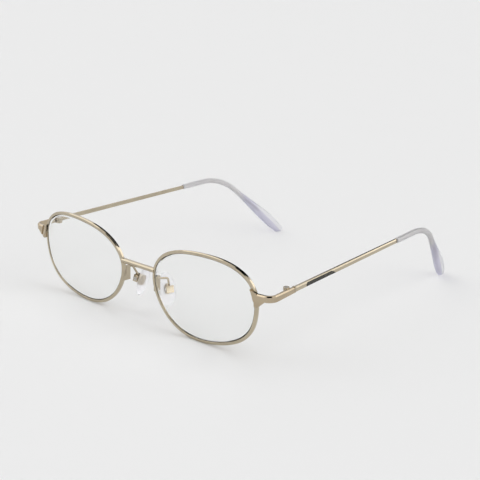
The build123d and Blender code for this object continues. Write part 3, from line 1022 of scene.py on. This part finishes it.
def tip_loops(temple):
    """Sections of the tip: a round sleeve that flattens into a paddle with a ridge along it."""
    axes = temple_axes(temple)
    back = Vector((0, 1, 0))
    drop = Vector((
        -math.sin(temple.inward),
        math.cos(temple.inward) * math.cos(temple.drop),
        -math.cos(temple.inward) * math.sin(temple.drop)))
    turn = math.acos(drop.y)
    tangent = temple.bend_radius * math.tan(turn / 2)
    corner = Vector((temple.line_outside, temple.collar + temple.bend_corner, 0))
    corner_height = (axes @ corner).z
    fall = corner_height - (axes @ (corner + drop * temple.bend_radius)).z
    straight = corner_height / fall * temple.bend_radius - temple.short_of_floor - tangent
    bend_start = temple.bend_corner - tangent
    bend_end = bend_start + temple.bend_radius * turn
    end = bend_end + straight
    sideways = -back.cross(drop).normalized()
    inwards = -sideways.cross(back)
    paddle = end - temple.paddle_from_end
    round_size = 2 * temple.sleeve_radius
    heights = [
        (temple.sleeve_length, round_size),
        (bend_end, temple.height_at_bend),
        (paddle, temple.paddle_height)]
    widths = [(temple.sleeve_length, round_size), (bend_end, temple.thickness)]
    powers = [(bend_end, 1.0), (paddle, 2 / PADDLE_ROUNDNESS)]
    loops = []
    for distance in tip_stations(end, paddle):
        angle = min(max((distance - bend_start) / temple.bend_radius, 0), turn)
        middle = Vector((temple.line_outside, temple.collar + min(distance, bend_start), 0))
        bow = back * math.sin(angle) + inwards * (1 - math.cos(angle))
        heading = back * math.cos(angle) + inwards * math.sin(angle)
        middle += bow * temple.bend_radius + heading * max(distance - bend_end, 0)
        rounding = (max(distance - paddle, 0) / temple.paddle_from_end) ** 2
        height = eased(distance, heights) - (temple.paddle_height - temple.end_height) * rounding
        width = eased(distance, widths) - (temple.thickness - temple.end_thickness) * rounding
        mouth = 1 - MOUTH_NARROWING * max(1 - distance / MOUTH_ROUNDING, 0) ** 2
        power = eased(distance, powers)
        up = heading.cross(sideways)
        loop = []
        for step in range(TIP_SIDES):
            angle = 2 * math.pi * step / TIP_SIDES
            across = width / 2 * mouth * signed_power(math.cos(angle), power)
            over = height / 2 * mouth * signed_power(math.sin(angle), power)
            loop.append(axes @ (middle + sideways * across + up * over))
        loops.append(loop)
    return loops


def tip_stations(end, paddle):
    """Places of the sections, closer together at the mouth and the round end."""
    stations = []
    for start, stop, steps in (
            (0, MOUTH_ROUNDING, MOUTH_STEPS),
            (MOUTH_ROUNDING, paddle, BODY_STEPS),
            (paddle, end, END_STEPS)):
        stations += [start + (stop - start) * step / steps for step in range(steps)]
    return stations + [end]


def cut_at_floor(mesh):
    """Cuts off what is under the floor and closes the cut."""
    with reshaped(mesh) as shape:
        every = shape.verts[:] + shape.edges[:] + shape.faces[:]
        cut = bmesh.ops.bisect_plane(
            shape, geom=every, plane_co=(0, 0, 0), plane_no=(0, 0, -1), clear_outer=True)
        rim = [item for item in cut["geom_cut"] if isinstance(item, bmesh.types.BMEdge)]
        bmesh.ops.contextual_create(shape, geom=rim)
        bmesh.ops.recalc_face_normals(shape, faces=shape.faces)


class GLASSES_OT_nose_pads(bpy.types.Operator):
    """Mould the two silicone nose pads"""
    bl_idname = "glasses.nose_pads"
    bl_label = "Nose pads"

    def execute(self, context):
        pad = context.scene.eyeglass_pads
        for name, side in SIDES.items():
            loops = [mirrored(loop, side) for loop in pad_loops(pad)]
            mesh = skinned(name + "_silicone_pad", loops)
            soften_shading(mesh, PAD_LIMIT)
            dressed(mesh_object(mesh.name, mesh), name + "_nose_pad", finish("silicone"))
        return {"FINISHED"}


def pad_loops(pad):
    """Slices of the pad from its nose side to its back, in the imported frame."""
    low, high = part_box("left_nose_pad")
    axes = (
        Matrix.Translation((low + high) / 2)
        @ Matrix.Rotation(-pad.splay, 4, "Z")
        @ Matrix.Rotation(-pad.slope, 4, "Y"))
    loops = []
    for slice_step in range(1, PAD_SLICES):
        angle = math.pi * (slice_step / PAD_SLICES - 0.5)
        deep = pad.thickness / 2 * signed_power(math.sin(angle), PAD_FACE_POWER)
        grown = math.cos(angle) ** PAD_EDGE_POWER
        loop = []
        for step in range(PAD_SIDES):
            turn = 2 * math.pi * step / PAD_SIDES
            up = pad.height / 2 * math.sin(turn) * grown
            narrowed = 1 - pad.narrowing * (math.sin(turn) + 1) / 2
            across = pad.width / 2 * math.cos(turn) * grown * narrowed
            loop.append(axes @ Vector((deep, across, up)))
        loops.append(loop)
    return loops


class GLASSES_OT_studio(bpy.types.Operator):
    """Set up the floor, the light, the background and the camera"""
    bl_idname = "glasses.studio"
    bl_label = "Studio"

    def execute(self, context):
        studio = context.scene.eyeglass_studio
        colours = context.scene.eyeglass_colours
        context.scene.view_settings.view_transform = "Standard"
        make_floor(studio, colours)
        make_world(studio, colours)
        make_camera(studio)
        return {"FINISHED"}


def make_floor(studio, colours):
    half = studio.floor_size / 2
    mesh = bpy.data.meshes.new("studio_floor")
    corners = [(-half, -half, 0), (half, -half, 0), (half, half, 0), (-half, half, 0)]
    mesh.from_pydata(corners, [], [(0, 1, 2, 3)])
    mesh.materials.append(matte_floor("pale floor", colours.backdrop))
    mesh_object("studio_floor", mesh)


def make_world(studio, colours):
    """Pale backdrop up into a diffuser, a dark wall behind, softboxes and black flags."""
    world = bpy.data.worlds.new("studio")
    world.use_nodes = True
    bpy.context.scene.world = world
    graph = Graph(world.node_tree)
    direction = graph.signal("ShaderNodeTexCoord", "Generated")
    parts = graph.node("ShaderNodeSeparateXYZ", Vector=direction)
    left, back, height = (Signal(graph.tree, parts.outputs[axis]) for axis in ("X", "Y", "Z"))
    light = graph.ramp(height, *DIFFUSER_RISE, colours.backdrop[0], studio.sky_strength)
    wall = graph.ramp(height, *WALL_FOOT) * graph.ramp(height, *WALL_TOP)
    wall = wall * graph.ramp(back, *WALL_DISTANCE) * graph.ramp(left + back, *WALL_END)
    light = light * (1 - wall * (1 - studio.wall_strength))
    for towards, spread, strength in (
            (studio.key_direction, KEY_SPREAD, studio.key_strength),
            (studio.fill_direction, FILL_SPREAD, studio.fill_strength),
            (studio.front_direction, FRONT_SPREAD, studio.front_strength),
            (studio.side_direction, SIDE_SPREAD, studio.side_strength)):
        light = light.larger(patch(graph, direction, towards, spread, strength))
    rear = patch(graph, direction, studio.rear_direction, REAR_SPREAD, studio.rear_strength)
    light = light.larger(rear * graph.ramp(height, *REAR_FOOT))
    for step, size in enumerate(studio.flag_sizes):
        towards = studio.flag_directions[3 * step:3 * step + 3]
        light = light * (1 - patch(graph, direction, towards, (size - FLAG_EDGE, size), 1.0))
    room = graph.node("ShaderNodeBackground", Color=(1.0, 1.0, 1.0, 1.0), Strength=light)
    graph.node("ShaderNodeOutputWorld", Surface=Signal(graph.tree, room.outputs[0]))


def patch(graph, direction, towards, spread, strength):
    """A round patch of the sky with a soft edge."""
    aim = tuple(Vector(towards).normalized())
    node = graph.node("ShaderNodeVectorMath", {"operation": "DOT_PRODUCT"})
    feed(graph.tree, node.inputs[0], direction)
    node.inputs[1].default_value = aim
    nearness = Signal(graph.tree, node.outputs["Value"])
    inner, outer = spread
    return graph.ramp(nearness, math.cos(outer), math.cos(inner), 0.0, strength)


def make_camera(studio):
    lens = bpy.data.cameras.new("camera")
    lens.sensor_width = SENSOR_WIDTH
    lens.lens = studio.focal_length
    lens.clip_start = NEAREST_SEEN
    lens.clip_end = FARTHEST_SEEN
    camera = bpy.data.objects.new("camera", lens)
    camera.matrix_world = (
        Matrix.Translation(studio.camera_place)
        @ Matrix.Rotation(studio.camera_azimuth, 4, "Z")
        @ Matrix.Rotation(math.pi / 2 - studio.camera_elevation, 4, "X")
        @ Matrix.Rotation(studio.camera_roll, 4, "Z"))
    bpy.context.scene.collection.objects.link(camera)
    bpy.context.scene.camera = camera


class GLASSES_PT_panel(bpy.types.Panel):
    """Sizes, colours and steps of the eyeglasses"""
    bl_idname = "GLASSES_PT_panel"
    bl_label = "Eyeglasses"
    bl_space_type = "VIEW_3D"
    bl_region_type = "UI"
    bl_category = "Eyeglasses"

    def draw(self, context):
        for group in GROUPS:
            box = self.layout.box()
            settings = getattr(context.scene, group)
            for name in GROUPS[group].__annotations__:
                box.prop(settings, name)
        for operator in OPERATORS:
            self.layout.operator(operator.bl_idname)


GROUPS = {
    "eyeglass_front": FrontSizes,
    "eyeglass_temple": TempleSizes,
    "eyeglass_pads": PadSizes,
    "eyeglass_colours": FinishColours,
    "eyeglass_studio": StudioSizes,
}
OPERATORS = [
    GLASSES_OT_hardware,
    GLASSES_OT_rims,
    GLASSES_OT_lenses,
    GLASSES_OT_tips,
    GLASSES_OT_nose_pads,
    GLASSES_OT_studio,
]


def register():
    for group, kind in GROUPS.items():
        bpy.utils.register_class(kind)
        setattr(bpy.types.Scene, group, PointerProperty(type=kind))
    for kind in [*OPERATORS, GLASSES_PT_panel]:
        bpy.utils.register_class(kind)


def unregister():
    for kind in [GLASSES_PT_panel, *reversed(OPERATORS)]:
        bpy.utils.unregister_class(kind)
    for group, kind in GROUPS.items():
        delattr(bpy.types.Scene, group)
        bpy.utils.unregister_class(kind)


def main():
    register()
    for operator in OPERATORS:
        family, name = operator.bl_idname.split(".")
        getattr(getattr(bpy.ops, family), name)()


if __name__ == "__main__":
    main()
